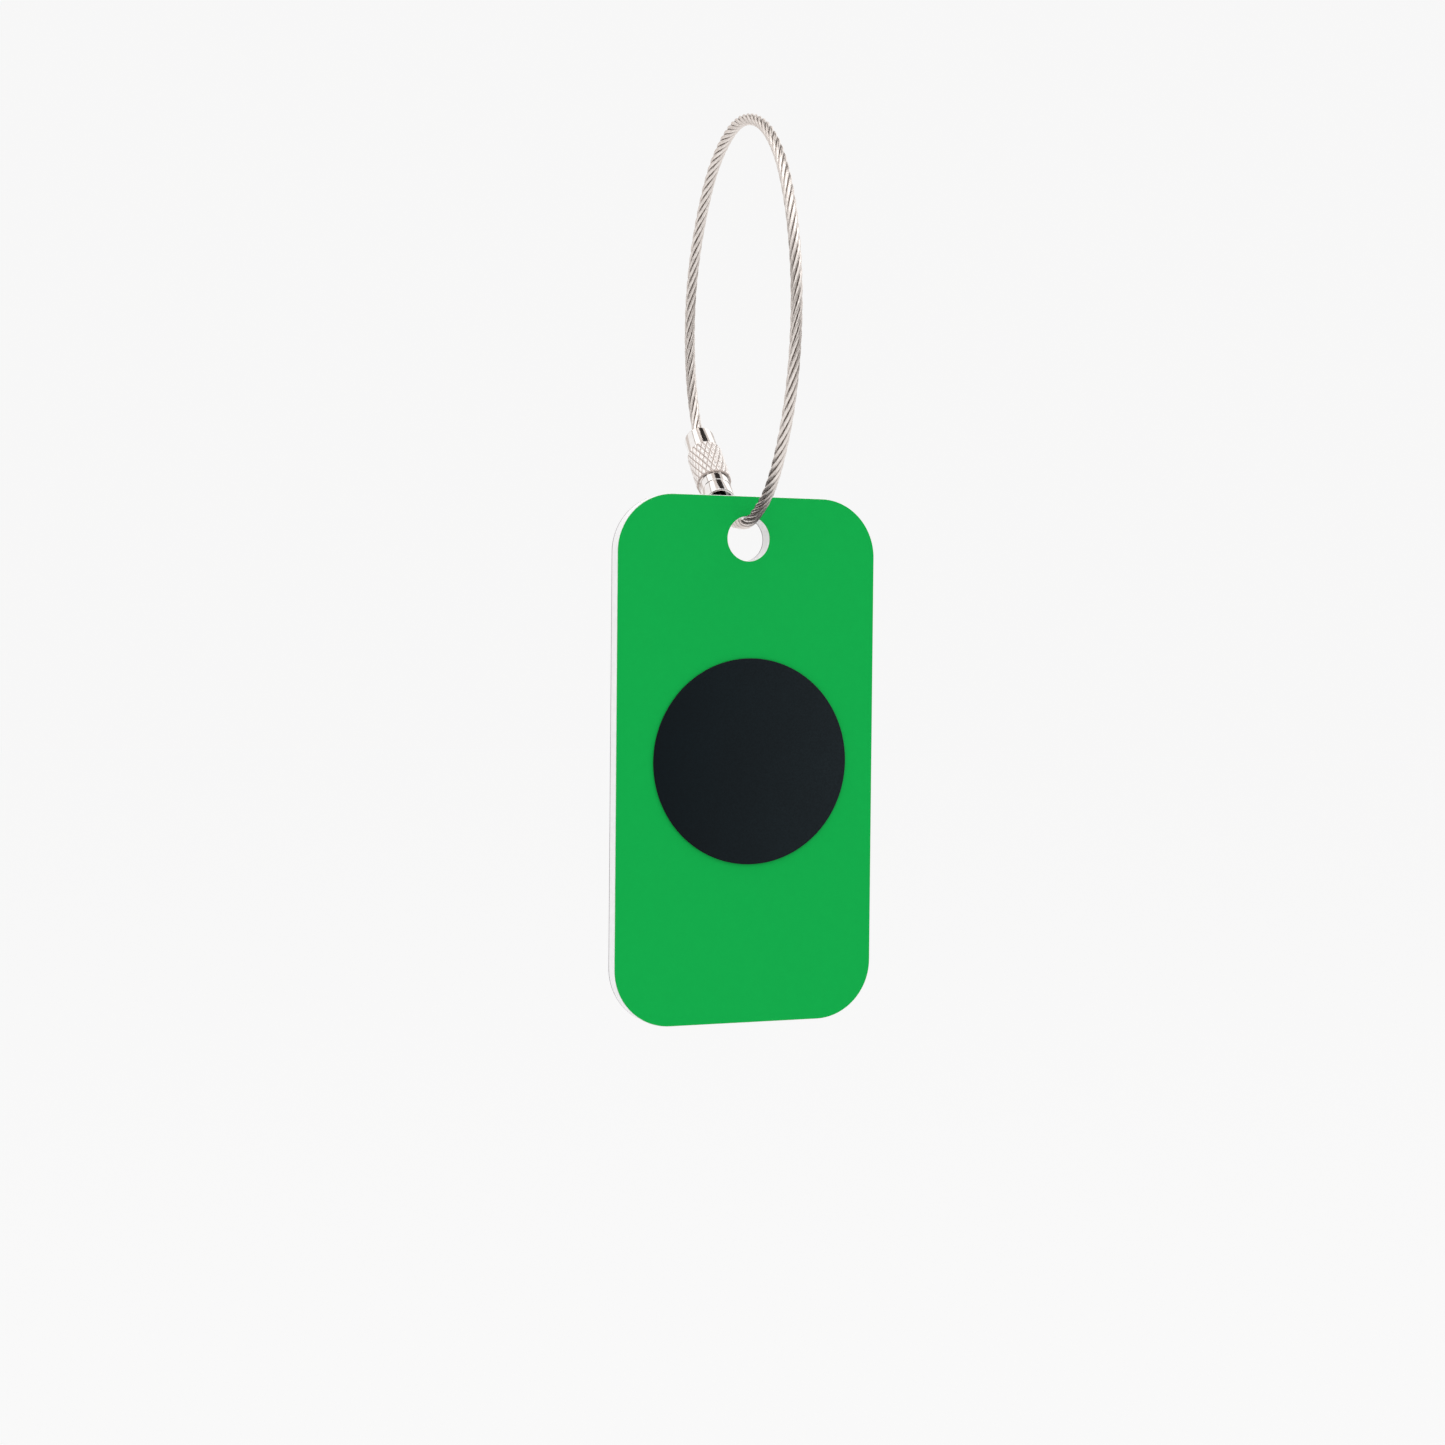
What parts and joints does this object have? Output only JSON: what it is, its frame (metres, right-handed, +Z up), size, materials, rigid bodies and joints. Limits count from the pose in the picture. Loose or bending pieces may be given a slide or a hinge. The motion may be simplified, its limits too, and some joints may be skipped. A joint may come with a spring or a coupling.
{
  "type": "luggage tag",
  "caption": "Laminated rectangular luggage tag with a round black disc on its face, hung through its top hole on a steel cable loop that closes with a knurled screw clasp.",
  "frame": {"origin": "on the underside of the top of the cable loop, where the loop hangs from a bag's handle", "axes": "+Z up along the plate's height, +X to the right across the plate as its face is seen, +Y out of the plate's back; the plate's face looks along -Y"},
  "size_m": [0.0502, 0.0754, 0.1655],
  "materials": {
    "printed_green": "satin",
    "white_board": "milled satin",
    "dark_back": "fine leather-like grain",
    "matte_black": "matte grained",
    "label_white": "uncoated paper under film",
    "bright_nickel": "polished nickel plate",
    "crimped_steel": "turned",
    "steel_cable": "drawn stainless wire"
  },
  "bodies": {
    "loop": {"cable_loop": "steel_cable", "stop_ferrule": "crimped_steel"},
    "tag": {"face_sheet": "printed_green", "core_plate": "white_board", "back_sheet": "dark_back", "face_disc": "matte_black", "address_label": "label_white"},
    "barrel": {"screw_barrel": "bright_nickel"},
    "stud": {"threaded_stud": "crimped_steel", "end_socket": "bright_nickel"}
  },
  "joints": [
    {"name": "tag_swing", "type": "hinge", "parent": "loop", "child": "tag", "pos_m": [0.0008, -0.0043, -0.0721], "axis": [0.103, 0.9947, 0], "range_deg": [-150, 150]},
    {"name": "barrel_turn", "type": "hinge", "parent": "loop", "child": "barrel", "pos_m": [0.00505, 0.0321, -0.05345], "axis": [0.089, 0.7819, 0.617], "range_deg": [0, 3241]},
    {"name": "stud_travel", "type": "slide", "parent": "loop", "child": "stud", "axis": [-0.089, -0.7819, -0.617], "range_m": [0, 0.00675]}
  ],
  "couplings": [
    {"joint": "barrel_turn", "follows": "stud_travel", "rad_per_m": 8377.6}
  ]
}
